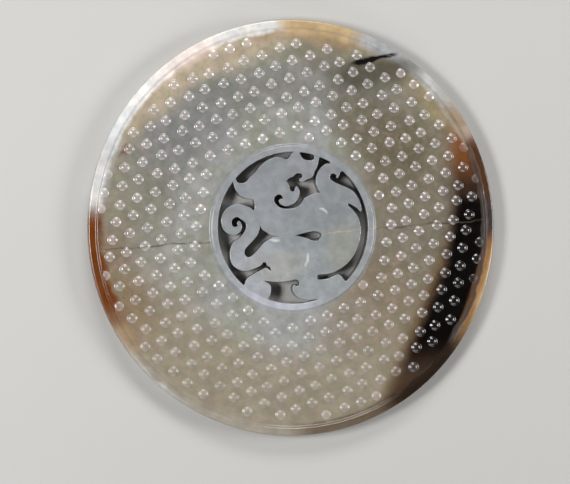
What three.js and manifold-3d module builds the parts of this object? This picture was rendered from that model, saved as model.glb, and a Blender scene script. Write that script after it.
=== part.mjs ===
// A jade bi: a flat ritual disc, carved in one piece and lying on its back.
// A raised rim and a raised centre ring border a sunken field covered with rows of small round nubs.
// Inside the ring a coiled dragon is left standing between eight sawn openings, in one piece with the ring.
// Millimetres, +Z up. The origin is on the surface that the disc lies on, under its middle.
// +Y is the side of the disc that the dragon's head points to, and +X is the side that it faces.
import * as THREE from "three";
import { mergeVertices } from "three/addons/utils/BufferGeometryUtils.js";
import Module from "manifold-3d";

// Driving dimensions of the disc. It is a little wider along Y than along X, as it was cut by hand.
const DISC_LENGTH = 130; // along Y
const DISC_WIDTH = 128; // along X
const DISC_THICKNESS = 5;
const EDGE_BEVEL = 0.6; // worn arris round the outer edge, front and back
const RIM_WIDTH = 2.3; // from the outer edge to the start of the rim's inner slope
const BORDER_SLOPE = 0.7; // width of the slope from a border down to the field
const FIELD_DEPTH = 0.75; // depth of the sunken field, front and back
const RING_RADIUS = 26.3; // foot of the centre ring's outer slope
const RING_WIDTH = 2.6; // from that foot to the inside of the ring, where the openings stop

// Driving dimensions of the nubs. Their rows run in two directions and were set out by eye.
const NUB_PITCH = 5.71; // along the first rows
const NUB_ROW_ANGLE = 19.4; // degrees from +X
const NUB_CROSS_PITCH = 5.64; // along the second rows
const NUB_CROSS_ANGLE = 80.1; // degrees from +X
const NUB_START_X = 0.6; // the point that the rows are counted from
const NUB_START_Y = 0.4;
const NUB_SIDE_DRIFT = 0.8; // how far the rows have drifted to -X at both sides of the disc
const NUB_END_DRIFT = 0.45; // how far the rows have drifted to +X at both ends of the disc
const NUB_WANDER = 0.42; // how far a nub may stand off its row, along X and along Y
const NUB_RADIUS = 1.6; // of the round nub that the flat-sided one stands for
const NUB_CROWN_SHARE = 0.55; // the flat of the crown, as a share of the nub's radius
const NUB_HEIGHT = 0.7;
const NUB_SIDE_MARGIN = 0.6; // from the rim's slope to the outermost nubs' middles, along X
const NUB_END_MARGIN = 2.1; // the same along Y
const NUB_RING_MARGIN = 2.3; // from the ring's slope to the innermost nubs' middles
const NUB_FADE = 1.8; // over this width along both borders the nubs are lower
const NUB_LOW_SHARE = 0.6; // height of the lowest nubs, as a share of NUB_HEIGHT

// How finely the curves are cut into flats.
const DISC_SEGMENTS = 84;
const RING_SEGMENTS = 54;
const OPENING_STEP = 1.05; // mm along an opening's outline
const NUB_SIDES = 6; // an even number, as the crown has half as many
const CUT_MARGIN = 1; // how far a cutting solid runs past the face that it cuts
const FOOT_MARGIN = 0.1; // how far a nub's foot is sunk, so that it joins the field

// The openings round the dragon, in hundredths of RING_BORE_RADIUS from the disc's middle.
// Each is a closed outline of stretches that meet at corners. A stretch is a smooth curve through its points,
// and onRing(a, b) follows the inside of the ring from a to b degrees.
const OPENINGS = {
  behind_the_crest: [
    onRing(139.5, 89.5),
    [[1, 100], [-2.5, 97], [-5.5, 92], [-9.5, 90]],
    [[-9.5, 90], [-14, 92], [-21, 93], [-30, 91], [-38, 86.5], [-45, 80], [-50, 73.5],
      [-57, 67], [-62, 61], [-68, 58.5], [-74, 60], [-76, 65]],
  ],
  above_the_nose: [
    onRing(85, 74.5),
    [[26.7, 96.4], [28.3, 93], [26.5, 90], [21, 89], [15, 90.5], [11, 94], [8.7, 99.6]],
  ],
  mouth: [
    onRing(69.3, 60.5),
    [[49.2, 87], [49.5, 84.8]],
    [[49.5, 84.8], [44, 84.5], [38.5, 81], [34, 75], [31, 68], [30.3, 61], [32, 54], [35.5, 46.5]],
    [[35.5, 46.5], [29, 45.8], [22, 43], [15, 39], [11.5, 33.5], [6, 28.2], [-2, 25.6], [-11, 25.2],
      [-18.5, 27.5], [-23.5, 32.5], [-25.2, 38], [-22.5, 42], [-18, 43.8], [-14.3, 41.2], [-13.8, 38.2]],
    [[-13.8, 38.2], [-17.5, 37.8], [-19, 34.5], [-16, 30.5], [-10, 28.3], [-4, 29.5], [1.5, 32],
      [6, 37], [8.7, 44], [8, 51], [4.5, 55], [2.3, 52]],
    [[2.3, 52], [1.8, 48.8], [-1.2, 47.7], [-4, 50.5], [-5.5, 56.5], [-9, 61.5]],
    [[-9, 61.5], [-5, 65.5], [0, 67.2], [3.5, 70.8], [8, 71.8], [12.3, 69.8], [11.6, 66.5], [8.2, 64],
      [9.5, 61], [13.5, 60.6], [19, 63.8], [25.5, 66.5], [28, 72.5], [31.3, 78.5], [33.5, 85], [35.3, 93.5]],
  ],
  behind_the_back: [
    onRing(48.2, -44.5),
    [[71.3, -70.1], [69, -69.5], [66.3, -66]],
    [[66.3, -66], [63.5, -62.8], [59.5, -61.6], [54, -63.5], [47, -66.8], [38, -68.4], [33.5, -67.8],
      [32.4, -65], [33.8, -62.2], [43, -61.3], [53, -59.3], [62, -55], [70, -49.5], [77, -42.5],
      [83, -33.5], [88, -21], [90.6, -8], [90, 5], [86.5, 15.5], [80.5, 23.5], [75.5, 28], [73, 30.6]],
    [[73, 30.6], [75.5, 31.8], [80, 29.3], [85, 26.4], [88.8, 22], [90.5, 21.5]],
    [[90.5, 21.5], [91.5, 25], [90.4, 32], [87, 40], [81, 48], [73, 53], [63, 57], [55, 60.8],
      [49.5, 65]],
    [[49.5, 65], [50, 69.5], [54, 71.8], [58, 69], [57.2, 66.3]],
    [[57.2, 66.3], [60, 65.6], [61.8, 69.5], [63.6, 73.6], [66.7, 74.5]],
  ],
  under_the_chest: [
    [[2.5, -10], [12, -7.8], [21, -5.5], [28, -4.7], [34, -5.8], [38, -9], [36.2, -13.5], [32.5, -17]],
    [[32.5, -17], [26, -16.5], [18, -13.5], [2.5, -10]],
  ],
  above_the_rump: [
    [[-44, 3], [-41, -2.5], [-35, -6.5], [-29, -10.2], [-19, -11.3]],
    [[-19, -11.3], [-27, -12.7], [-33, -16], [-39, -20], [-46, -28], [-53, -35.5], [-59.5, -38.8],
      [-64.3, -34.5], [-63.5, -28.5], [-57, -21], [-50, -13.5], [-46, -7], [-44, 3]],
  ],
  round_the_tail: [
    onRing(143, 229.5),
    [[-64.9, -76], [-63, -70], [-59, -65], [-51, -60], [-44, -56.5], [-38, -53.3], [-34, -53.4],
      [-29.5, -57]],
    [[-29.5, -57], [-30.5, -52.5], [-34.5, -49.8], [-36, -46]],
    [[-36, -46], [-39.5, -45.8], [-42, -49.2], [-49, -53], [-58, -56.2], [-67, -57], [-75, -53.5],
      [-81, -48], [-83.8, -38], [-83, -27], [-79, -18.5], [-72, -14], [-66.5, -8], [-62.8, -1],
      [-63.2, 6], [-68, 10.2], [-74.5, 13.9], [-80, 11], [-81.4, 5], [-78, 0.9], [-73.2, 2.2]],
    [[-73.2, 2.2], [-74.6, 5.6], [-72.6, 8.8], [-69.4, 7.2], [-67.6, 0.5], [-70.5, -6], [-77, -9.8],
      [-85.5, -8.4], [-92.5, -2.5], [-95.4, 7], [-94, 17], [-88, 25.5], [-79, 30.6], [-70, 31.2],
      [-61, 28], [-55.5, 25.8], [-52.5, 22]],
    [[-52.5, 22], [-51.3, 27], [-51.5, 33], [-53, 37.2]],
    [[-53, 37.2], [-60, 38], [-67.5, 40.2], [-73, 44.5], [-77, 51], [-79.9, 60.2]],
  ],
  between_the_feet: [
    onRing(-70.4, -109.5),
    [[-33.4, -94.3], [-30.4, -88], [-29.2, -80.5], [-30.8, -75], [-34.5, -72.3], [-39, -70]],
    [[-39, -70], [-32, -70.7], [-20, -71.5], [-9, -70.5], [0, -69], [5, -68.8], [8, -71.5], [7.5, -76],
      [3.8, -76.6], [0.6, -75.2]],
    [[0.6, -75.2], [-0.9, -79.5], [0.8, -86], [5, -91], [11, -94.2], [20, -95.4], [33.5, -94.2]],
  ],
};

// Places that follow from the driving dimensions.
const RING_BORE_RADIUS = RING_RADIUS - RING_WIDTH;
const FIELD_HALF_LENGTH = DISC_LENGTH / 2 - RIM_WIDTH - BORDER_SLOPE;
const FIELD_HALF_WIDTH = DISC_WIDTH / 2 - RIM_WIDTH - BORDER_SLOPE;
const FRONT_FIELD_Z = DISC_THICKNESS - FIELD_DEPTH;
const NUB_SIDE_ANGLE = (2 * Math.PI) / NUB_SIDES;
const NUB_CORNER_RADIUS = NUB_RADIUS * Math.sqrt(NUB_SIDE_ANGLE / Math.sin(NUB_SIDE_ANGLE)); // keeps its area

const wasm = await Module();
wasm.setup();

// A stretch of an opening that follows the inside of the centre ring.
function onRing(startDegrees, endDegrees) {
  return { startDegrees, endDegrees };
}

// A closed three.js geometry as a solid that can be joined and cut.
function toSolid(geometry) {
  const bare = geometry.index ? geometry.toNonIndexed() : geometry.clone();
  bare.deleteAttribute("normal");
  bare.deleteAttribute("uv");
  const merged = mergeVertices(bare, 1e-4);
  return new wasm.Manifold(
    new wasm.Mesh({
      numProp: 3,
      vertProperties: new Float32Array(merged.attributes.position.array),
      triVerts: new Uint32Array(merged.index.array),
    }),
  );
}

// A finished solid as a three.js geometry.
function toGeometry(solid) {
  const mesh = solid.getMesh();
  const geometry = new THREE.BufferGeometry();
  geometry.setAttribute("position", new THREE.BufferAttribute(mesh.vertProperties, mesh.numProp));
  geometry.setIndex(new THREE.BufferAttribute(mesh.triVerts, 1));
  geometry.computeVertexNormals();
  return geometry;
}

// A solid turned about Z. The profile runs up from the axis and back to it, as [radius, z], with outer
// radii given along Y, and narrowing squeezes it along X.
function turned(profile, segments, narrowing = 1) {
  const points = profile.map(([radius, z]) => new THREE.Vector2(radius, z));
  const geometry = new THREE.LatheGeometry(points, segments);
  geometry.rotateX(Math.PI / 2);
  geometry.scale(narrowing, 1, 1);
  return toSolid(geometry);
}

// The whole disc at the height of its rim, before anything is carved.
function discBlank() {
  const radius = DISC_LENGTH / 2;
  const profile = [
    [0, 0],
    [radius - EDGE_BEVEL, 0],
    [radius, EDGE_BEVEL],
    [radius, DISC_THICKNESS - EDGE_BEVEL],
    [radius - EDGE_BEVEL, DISC_THICKNESS],
    [0, DISC_THICKNESS],
  ];
  return turned(profile, DISC_SEGMENTS, DISC_WIDTH / DISC_LENGTH);
}

// What is carved away to sink the field of one face between its rim and the centre ring.
function fieldRecess(isFront) {
  const atDepth = (depth) => (isFront ? DISC_THICKNESS - depth : depth);
  const sunkToRadius = (depth, radius) => [radius, atDepth(depth)];
  const slopeTo = (depth) => (BORDER_SLOPE * (FIELD_DEPTH - depth)) / FIELD_DEPTH;
  const outerProfile = [
    sunkToRadius(FIELD_DEPTH, 0),
    sunkToRadius(FIELD_DEPTH, FIELD_HALF_LENGTH),
    sunkToRadius(-CUT_MARGIN, FIELD_HALF_LENGTH + slopeTo(-CUT_MARGIN)),
    sunkToRadius(-CUT_MARGIN, 0),
  ];
  const below = FIELD_DEPTH + CUT_MARGIN;
  const ringProfile = [
    sunkToRadius(below, 0),
    sunkToRadius(below, RING_RADIUS - slopeTo(below)),
    sunkToRadius(-CUT_MARGIN, RING_RADIUS - slopeTo(-CUT_MARGIN)),
    sunkToRadius(-CUT_MARGIN, 0),
  ];
  if (!isFront) {
    outerProfile.reverse();
    ringProfile.reverse();
  }
  const narrowing = FIELD_HALF_WIDTH / FIELD_HALF_LENGTH;
  return turned(outerProfile, DISC_SEGMENTS, narrowing).subtract(turned(ringProfile, RING_SEGMENTS));
}

// A repeatable number from -1 to 1 for the nub at column i and row j.
function wander(i, j, salt) {
  const wave = Math.sin(i * 12.9898 + j * 78.233 + salt * 37.719) * 43758.5453;
  return 2 * (wave - Math.floor(wave)) - 1;
}

// How far a point is inside the part of the field that carries nubs.
function nubFieldGap(x, y) {
  const halfWidth = FIELD_HALF_WIDTH - NUB_SIDE_MARGIN;
  const halfLength = FIELD_HALF_LENGTH - NUB_END_MARGIN;
  const fromRing = Math.hypot(x, y) - RING_RADIUS - NUB_RING_MARGIN;
  return Math.min(fromRing, halfWidth * (1 - Math.hypot(x / halfWidth, y / halfLength)));
}

// Where the nubs stand, each with its height.
function nubPlaces() {
  const places = [];
  const reach = Math.ceil(DISC_LENGTH / Math.min(NUB_PITCH, NUB_CROSS_PITCH));
  const row = THREE.MathUtils.degToRad(NUB_ROW_ANGLE);
  const cross = THREE.MathUtils.degToRad(NUB_CROSS_ANGLE);
  for (let i = -reach; i <= reach; i++) {
    for (let j = -reach; j <= reach; j++) {
      const rowX = NUB_START_X + i * NUB_PITCH * Math.cos(row) + j * NUB_CROSS_PITCH * Math.cos(cross);
      const y = NUB_START_Y + i * NUB_PITCH * Math.sin(row) + j * NUB_CROSS_PITCH * Math.sin(cross);
      const sideDrift = NUB_SIDE_DRIFT * (rowX / FIELD_HALF_WIDTH) ** 2;
      const x = rowX - sideDrift + NUB_END_DRIFT * (y / FIELD_HALF_LENGTH) ** 2;
      const gap = nubFieldGap(x, y);
      if (gap < 0) continue;
      const share = NUB_LOW_SHARE + (1 - NUB_LOW_SHARE) * THREE.MathUtils.smoothstep(gap, 0, NUB_FADE);
      places.push({
        x: x + NUB_WANDER * wander(i, j, 0),
        y: y + NUB_WANDER * wander(i, j, 1),
        height: NUB_HEIGHT * share,
      });
    }
  }
  return places;
}

// One nub: a stub sunk in the field, a side that leans in, and a crown with half as many corners.
function nub({ x, y, height }) {
  const crownSides = NUB_SIDES / 2;
  const corners = [];
  const ringOfCorners = (count, radius, z) => {
    for (let k = 0; k < count; k++) {
      const angle = (2 * Math.PI * k) / count;
      corners.push(x + radius * Math.cos(angle), y + radius * Math.sin(angle), z);
    }
  };
  ringOfCorners(NUB_SIDES, NUB_CORNER_RADIUS, FRONT_FIELD_Z - FOOT_MARGIN);
  ringOfCorners(NUB_SIDES, NUB_CORNER_RADIUS, FRONT_FIELD_Z);
  ringOfCorners(crownSides, NUB_CORNER_RADIUS * NUB_CROWN_SHARE, FRONT_FIELD_Z + height);
  const faces = [];
  for (let k = 0; k < NUB_SIDES; k++) {
    const next = (k + 1) % NUB_SIDES;
    faces.push(k, next, NUB_SIDES + k, next, NUB_SIDES + next, NUB_SIDES + k);
  }
  const firstCrown = 2 * NUB_SIDES;
  for (let k = 0; k < crownSides; k++) {
    const foot = NUB_SIDES + 2 * k;
    const lastFoot = NUB_SIDES + ((2 * k + 2) % NUB_SIDES);
    const crown = firstCrown + k;
    const nextCrown = firstCrown + ((k + 1) % crownSides);
    faces.push(foot, foot + 1, crown, foot + 1, nextCrown, crown, foot + 1, lastFoot, nextCrown);
  }
  for (let k = 1; k < crownSides - 1; k++) faces.push(firstCrown, firstCrown + k, firstCrown + k + 1);
  for (let k = 1; k < NUB_SIDES - 1; k++) faces.push(0, k + 1, k);
  const geometry = new THREE.BufferGeometry();
  geometry.setAttribute("position", new THREE.Float32BufferAttribute(corners, 3));
  geometry.setIndex(faces);
  return toSolid(geometry);
}

// The points of one stretch, about OPENING_STEP apart, without its last point.
function stretchPoints(stretch) {
  let curve;
  if (Array.isArray(stretch)) {
    const scale = RING_BORE_RADIUS / 100;
    curve = new THREE.SplineCurve(stretch.map(([x, y]) => new THREE.Vector2(x * scale, y * scale)));
  } else {
    const start = THREE.MathUtils.degToRad(stretch.startDegrees);
    const end = THREE.MathUtils.degToRad(stretch.endDegrees);
    curve = new THREE.EllipseCurve(0, 0, RING_BORE_RADIUS, RING_BORE_RADIUS, start, end, end < start);
  }
  const steps = Math.max(1, Math.round(curve.getLength() / OPENING_STEP));
  return curve.getSpacedPoints(steps).slice(0, -1);
}

// The solid that saws one opening through the disc.
function openingCutter(stretches) {
  const outline = new THREE.Shape(stretches.flatMap(stretchPoints));
  const geometry = new THREE.ExtrudeGeometry(outline, {
    depth: DISC_THICKNESS + 2 * CUT_MARGIN,
    bevelEnabled: false,
  });
  geometry.translate(0, 0, -CUT_MARGIN);
  return toSolid(geometry);
}

// The disc with its field, nubs and openwork dragon, as one solid.
function carvedDisc() {
  const sunk = discBlank().subtract(fieldRecess(true)).subtract(fieldRecess(false));
  const nubs = nubPlaces().map(nub).reduce((all, next) => all.add(next));
  const openings = Object.values(OPENINGS).map(openingCutter).reduce((all, next) => all.add(next));
  return sunk.add(nubs).subtract(openings);
}

const jade = new THREE.MeshStandardMaterial({ color: 0xa9a595, roughness: 0.3, metalness: 0 });
const disc = new THREE.Mesh(toGeometry(carvedDisc()), jade);
disc.name = "jade_bi_disc";

const group = new THREE.Group();
group.add(disc);

export default group;
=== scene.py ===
# The finish of a jade bi disc: round polished nubs, a softly carved openwork dragon, and old clouded jade.
# Sizes are millimetres in the disc's own frame unless a comment says otherwise, angles are degrees from +X,
# and tones are red, green and blue as they look on a screen, from 0 to 255.
import math

import bpy
import numpy as np
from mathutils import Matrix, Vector
from mathutils.geometry import delaunay_2d_cdt


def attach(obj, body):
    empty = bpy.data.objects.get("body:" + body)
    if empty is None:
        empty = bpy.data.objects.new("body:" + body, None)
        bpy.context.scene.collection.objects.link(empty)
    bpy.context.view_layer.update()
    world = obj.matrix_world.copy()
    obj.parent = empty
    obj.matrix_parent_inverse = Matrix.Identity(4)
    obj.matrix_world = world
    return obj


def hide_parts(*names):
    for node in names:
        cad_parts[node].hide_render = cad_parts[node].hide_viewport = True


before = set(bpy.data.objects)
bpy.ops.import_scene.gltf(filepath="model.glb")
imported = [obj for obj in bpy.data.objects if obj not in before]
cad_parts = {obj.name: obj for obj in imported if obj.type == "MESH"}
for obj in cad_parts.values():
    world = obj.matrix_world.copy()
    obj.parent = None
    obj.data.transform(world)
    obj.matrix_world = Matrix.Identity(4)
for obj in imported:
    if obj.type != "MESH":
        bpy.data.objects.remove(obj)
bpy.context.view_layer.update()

MM = 0.001
TINY = 1e-12

# The disc, as in the solid model.
DISC_LENGTH = 130.0
DISC_WIDTH = 128.0
DISC_THICKNESS = 5.0
RIM_WIDTH = 2.3
BORDER_SLOPE = 0.7
FIELD_DEPTH = 0.75
RING_RADIUS = 26.3
RING_WIDTH = 2.6
NUB_PITCH = 5.71
NUB_ROW_ANGLE = 19.4
NUB_CROSS_PITCH = 5.64
NUB_CROSS_ANGLE = 80.1
NUB_START = (0.6, 0.4)
NUB_SIDE_DRIFT = 0.8
NUB_END_DRIFT = 0.45
NUB_WANDER = 0.42
NUB_RADIUS = 1.6
NUB_HEIGHT = 0.7
NUB_SIDE_MARGIN = 0.6
NUB_END_MARGIN = 2.1
NUB_RING_MARGIN = 2.3
NUB_FADE = 1.8
NUB_LOW_SHARE = 0.6

# Numbers that scatter the nubs' small shifts.
SCATTER_RATES = (12.9898, 78.233, 37.719)
SCATTER_SIZE = 43758.5453

# Finer sizes that only the finish has.
EDGE_ARRIS = 0.5
OPENING_ARRIS = 0.24
DRAGON_SINK = 0.06
DRAGON_CROWN = 0.1
DRAGON_CROWN_REACH = 2.6
DRAGON_EDGE_EASE = 0.35
BACK_NUB_HEIGHT = 0.3
BACK_ARRIS = 0.18
NUB_FLATNESS = 2.4
NUB_HEIGHT_WANDER = 0.06
FOOT_BLEND = 0.05
NUB_FOOT_REACH = 0.5

# How far the finish eases the rim's and the ring's slopes past the solid's edges, at the top and the foot.
RIM_EASE_TOP = 0.3
RIM_EASE_FOOT = 0.2
RING_EASE_TOP = 0.12
RING_EASE_FOOT = 0.1

# The line of the old break, from the left edge to the right one. It wavers by waves of different lengths:
# radians to a millimetre, start in radians, and size against the first one.
BREAK_HEIGHT_AT_MIDDLE = -2.3
BREAK_RISE = 0.079
BREAK_WAVER = 0.22
BREAK_WAVES = [(0.31, 0.7, 1.0), (0.83, 2.1, 0.6), (2.3, 0.0, 0.35)]
BREAK_DEPTH = 0.1
BREAK_DEPTH_SHARE_ON_DRAGON = 0.35
BREAK_HALF_WIDTH = 0.28

RING_BORE_RADIUS = RING_RADIUS - RING_WIDTH
HALF_LENGTH = DISC_LENGTH / 2
HALF_WIDTH = DISC_WIDTH / 2
FIELD_HALF_LENGTH = HALF_LENGTH - RIM_WIDTH - BORDER_SLOPE
FIELD_HALF_WIDTH = HALF_WIDTH - RIM_WIDTH - BORDER_SLOPE
MEAN_RADIUS = (HALF_LENGTH + HALF_WIDTH) / 2
FIELD_EDGE = RIM_WIDTH + BORDER_SLOPE

# How finely the mesh is divided.
EDGE_SIDES = 360
OUTLINE_STEP = 0.3
LINE_STEP = 0.2
CURVE_SPANS = 16
RING_STRETCH_POINTS = 200
WALL_LEVELS = (0.3, 0.7)
POINTS_AT_ONCE = 1500

# For Blender's triangulation: keep what is inside the outlines, and join points nearer than this.
INSIDE_OUTLINES = 1
MERGE_DISTANCE = 0.0001

# Where each face has points: gaps in from the edge, circles off the ring's outer edge, bands beside the
# openings, an even grid over the dragon, and circles round each nub.
FRONT_DETAIL = {
    "edge_gaps": (0.04, 0.11, 0.2, 0.32, 0.46, 0.8, 1.4, 1.95, 2.15, 2.3, 2.45, 2.6, 2.75, 2.9, 3.05, 3.3),
    "ring_offsets": (-1.6, -1.1, -0.85, -0.7, -0.55, -0.4, -0.25, -0.1, 0.05, 0.25, 0.6),
    "ring_sides": 240,
    "opening_bands": (0.05, 0.12, 0.21, 0.32, 0.48),
    "grid_step": 0.3,
    "nub_radii": (0.45, 0.8, 1.08, 1.3, 1.46, 1.58, 1.7, 1.88),
    "nub_sides": 14,
}
BACK_DETAIL = {
    "edge_gaps": (0.1, 0.25, 0.55, 1.3, 2.2, 2.5, 2.8, 3.15),
    "ring_offsets": (-1.4, -0.8, -0.5, -0.2, 0.2),
    "ring_sides": 120,
    "opening_bands": (0.08, 0.2),
    "grid_step": 0.9,
    "nub_radii": (0.75, 1.25, 1.6),
    "nub_sides": 9,
}
GRID_HALF = RING_RADIUS - 1.3
GRID_RADIUS = RING_RADIUS - 1.8
BREAK_STEP = 0.5

# The gaps that the points round the nubs and along the break keep from the rest.
NUB_POINTS_FROM_RING = 0.75
NUB_POINTS_FROM_RIM = 0.5
BREAK_POINTS_FROM_RING = 0.8
BREAK_POINTS_FROM_RIM = 1.0
BREAK_POINTS_FROM_NUB = 0.35

# The openings round the dragon, as in the solid model, in hundredths of the ring's inner radius.
# A stretch is a smooth curve through its points, or ("ring", from degrees, to degrees).
OPENINGS = {
    "behind_the_crest": [
        ("ring", 139.5, 89.5),
        [(1, 100), (-2.5, 97), (-5.5, 92), (-9.5, 90)],
        [(-9.5, 90), (-14, 92), (-21, 93), (-30, 91), (-38, 86.5), (-45, 80), (-50, 73.5),
         (-57, 67), (-62, 61), (-68, 58.5), (-74, 60), (-76, 65)],
    ],
    "above_the_nose": [
        ("ring", 85, 74.5),
        [(26.7, 96.4), (28.3, 93), (26.5, 90), (21, 89), (15, 90.5), (11, 94), (8.7, 99.6)],
    ],
    "mouth": [
        ("ring", 69.3, 60.5),
        [(49.2, 87), (49.5, 84.8)],
        [(49.5, 84.8), (44, 84.5), (38.5, 81), (34, 75), (31, 68), (30.3, 61), (32, 54), (35.5, 46.5)],
        [(35.5, 46.5), (29, 45.8), (22, 43), (15, 39), (11.5, 33.5), (6, 28.2), (-2, 25.6), (-11, 25.2),
         (-18.5, 27.5), (-23.5, 32.5), (-25.2, 38), (-22.5, 42), (-18, 43.8), (-14.3, 41.2), (-13.8, 38.2)],
        [(-13.8, 38.2), (-17.5, 37.8), (-19, 34.5), (-16, 30.5), (-10, 28.3), (-4, 29.5), (1.5, 32),
         (6, 37), (8.7, 44), (8, 51), (4.5, 55), (2.3, 52)],
        [(2.3, 52), (1.8, 48.8), (-1.2, 47.7), (-4, 50.5), (-5.5, 56.5), (-9, 61.5)],
        [(-9, 61.5), (-5, 65.5), (0, 67.2), (3.5, 70.8), (8, 71.8), (12.3, 69.8), (11.6, 66.5), (8.2, 64),
         (9.5, 61), (13.5, 60.6), (19, 63.8), (25.5, 66.5), (28, 72.5), (31.3, 78.5), (33.5, 85),
         (35.3, 93.5)],
    ],
    "behind_the_back": [
        ("ring", 48.2, -44.5),
        [(71.3, -70.1), (69, -69.5), (66.3, -66)],
        [(66.3, -66), (63.5, -62.8), (59.5, -61.6), (54, -63.5), (47, -66.8), (38, -68.4), (33.5, -67.8),
         (32.4, -65), (33.8, -62.2), (43, -61.3), (53, -59.3), (62, -55), (70, -49.5), (77, -42.5),
         (83, -33.5), (88, -21), (90.6, -8), (90, 5), (86.5, 15.5), (80.5, 23.5), (75.5, 28), (73, 30.6)],
        [(73, 30.6), (75.5, 31.8), (80, 29.3), (85, 26.4), (88.8, 22), (90.5, 21.5)],
        [(90.5, 21.5), (91.5, 25), (90.4, 32), (87, 40), (81, 48), (73, 53), (63, 57), (55, 60.8),
         (49.5, 65)],
        [(49.5, 65), (50, 69.5), (54, 71.8), (58, 69), (57.2, 66.3)],
        [(57.2, 66.3), (60, 65.6), (61.8, 69.5), (63.6, 73.6), (66.7, 74.5)],
    ],
    "under_the_chest": [
        [(2.5, -10), (12, -7.8), (21, -5.5), (28, -4.7), (34, -5.8), (38, -9), (36.2, -13.5), (32.5, -17)],
        [(32.5, -17), (26, -16.5), (18, -13.5), (2.5, -10)],
    ],
    "above_the_rump": [
        [(-44, 3), (-41, -2.5), (-35, -6.5), (-29, -10.2), (-19, -11.3)],
        [(-19, -11.3), (-27, -12.7), (-33, -16), (-39, -20), (-46, -28), (-53, -35.5), (-59.5, -38.8),
         (-64.3, -34.5), (-63.5, -28.5), (-57, -21), (-50, -13.5), (-46, -7), (-44, 3)],
    ],
    "round_the_tail": [
        ("ring", 143, 229.5),
        [(-64.9, -76), (-63, -70), (-59, -65), (-51, -60), (-44, -56.5), (-38, -53.3), (-34, -53.4),
         (-29.5, -57)],
        [(-29.5, -57), (-30.5, -52.5), (-34.5, -49.8), (-36, -46)],
        [(-36, -46), (-39.5, -45.8), (-42, -49.2), (-49, -53), (-58, -56.2), (-67, -57), (-75, -53.5),
         (-81, -48), (-83.8, -38), (-83, -27), (-79, -18.5), (-72, -14), (-66.5, -8), (-62.8, -1),
         (-63.2, 6), (-68, 10.2), (-74.5, 13.9), (-80, 11), (-81.4, 5), (-78, 0.9), (-73.2, 2.2)],
        [(-73.2, 2.2), (-74.6, 5.6), (-72.6, 8.8), (-69.4, 7.2), (-67.6, 0.5), (-70.5, -6), (-77, -9.8),
         (-85.5, -8.4), (-92.5, -2.5), (-95.4, 7), (-94, 17), (-88, 25.5), (-79, 30.6), (-70, 31.2),
         (-61, 28), (-55.5, 25.8), (-52.5, 22)],
        [(-52.5, 22), (-51.3, 27), (-51.5, 33), (-53, 37.2)],
        [(-53, 37.2), (-60, 38), (-67.5, 40.2), (-73, 44.5), (-77, 51), (-79.9, 60.2)],
    ],
    "between_the_feet": [
        ("ring", -70.4, -109.5),
        [(-33.4, -94.3), (-30.4, -88), (-29.2, -80.5), (-30.8, -75), (-34.5, -72.3), (-39, -70)],
        [(-39, -70), (-32, -70.7), (-20, -71.5), (-9, -70.5), (0, -69), (5, -68.8), (8, -71.5), (7.5, -76),
         (3.8, -76.6), (0.6, -75.2)],
        [(0.6, -75.2), (-0.9, -79.5), (0.8, -86), (5, -91), (11, -94.2), (20, -95.4), (33.5, -94.2)],
    ],
}

# Incised lines on the dragon: points in hundredths of the ring's inner radius, then half width and depth.
INCISED_LINES = [
    ([(3.0, 19.5), (4.5, 15.0), (6.2, 10.0)], 0.3, 0.14),
    ([(-52.5, 22), (-50, 15), (-47, 8), (-44, 3)], 0.35, 0.16),
    ([(-19, -11.3), (-8, -10.6), (2.5, -10)], 0.25, 0.08),
    ([(-29.5, -57), (-24, -60), (-17, -61)], 0.3, 0.1),
    ([(12, -77), (20, -80), (30, -80)], 0.3, 0.1),
    ([(73, 30.6), (68, 34), (61, 35.5)], 0.3, 0.1),
    ([(57, -71), (52, -77), (45, -81)], 0.3, 0.1),
    ([(-13, 84), (-4, 80), (5, 79)], 0.3, 0.1),
]

# Soft swellings of the dragon's body: middle in the same hundredths, reach in mm, height in mm.
SWELLINGS = [
    ((-24, -20), 4.5, 0.1),
    ((18, -38), 4.0, 0.06),
    ((40, 20), 5.0, 0.08),
    ((62, -20), 4.5, 0.05),
    ((-25, 72), 3.5, 0.06),
    ((-76, 18), 2.4, 0.07),
    ((8, 10), 4.0, -0.05),
]

# Oval stains: middle and size in mm, turn in degrees, how strong, and the tone.
FIELD_CLOUDS = [
    ((-35, 28), (42, 22), 40, 0.6, (118, 118, 119)),
    ((-12, 43.5), (52, 11), 4, 0.4, (118, 117, 111)),
    ((37, 8), (40, 76), -8, 0.8, (112, 102, 84)),
    ((26, 30), (36, 20), -42, 0.72, (98, 89, 69)),
    ((12, 53), (26, 8), -8, 0.4, (94, 84, 64)),
    ((24, -24), (34, 22), 40, 0.55, (130, 111, 86)),
    ((-48, 6), (22, 30), 8, 0.6, (122, 117, 100)),
]
RUSTY_SPOT = ((-52, 24), (3, 3), 0, 0.8, (92, 56, 40))
CENTRE_CLOUDS = [
    ((-13, -13), (22, 20), 0, 0.6, (163, 165, 171)),
    ((17, -6), (12, 16), 0, 0.5, (138, 138, 120)),
    ((-4, -13), (18, 9), 0, 0.45, (160, 158, 148)),
]
CLOUD_SOFTNESS = 0.5

# Painted highlights on the dragon's body, small pale marks where its swellings would glint: middle, size and
# turn.
DRAGON_PAINTED_GLINTS = [
    ((-5.6, -3.8), (2.6, 0.9), 0),
    ((9.6, 5.2), (2.8, 0.7), -40),
    ((4.3, -10.2), (3.6, 0.8), 80),
]

# Bands of the field: the y where each one starts and is full, the shares of the radius where it starts and
# is full, with a second pair where it ends, how strong, and the tone.
FIELD_BANDS = [
    ((6.0, -34.0), [(0.5, 0.72)], 0.85, (139, 127, 106)),
    ((-4.0, 14.0), [(0.54, 0.66), (0.86, 0.76)], 0.8, (128, 128, 124)),
    ((-4.0, 14.0), [(0.74, 0.92)], 0.75, (140, 131, 108)),
]

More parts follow.
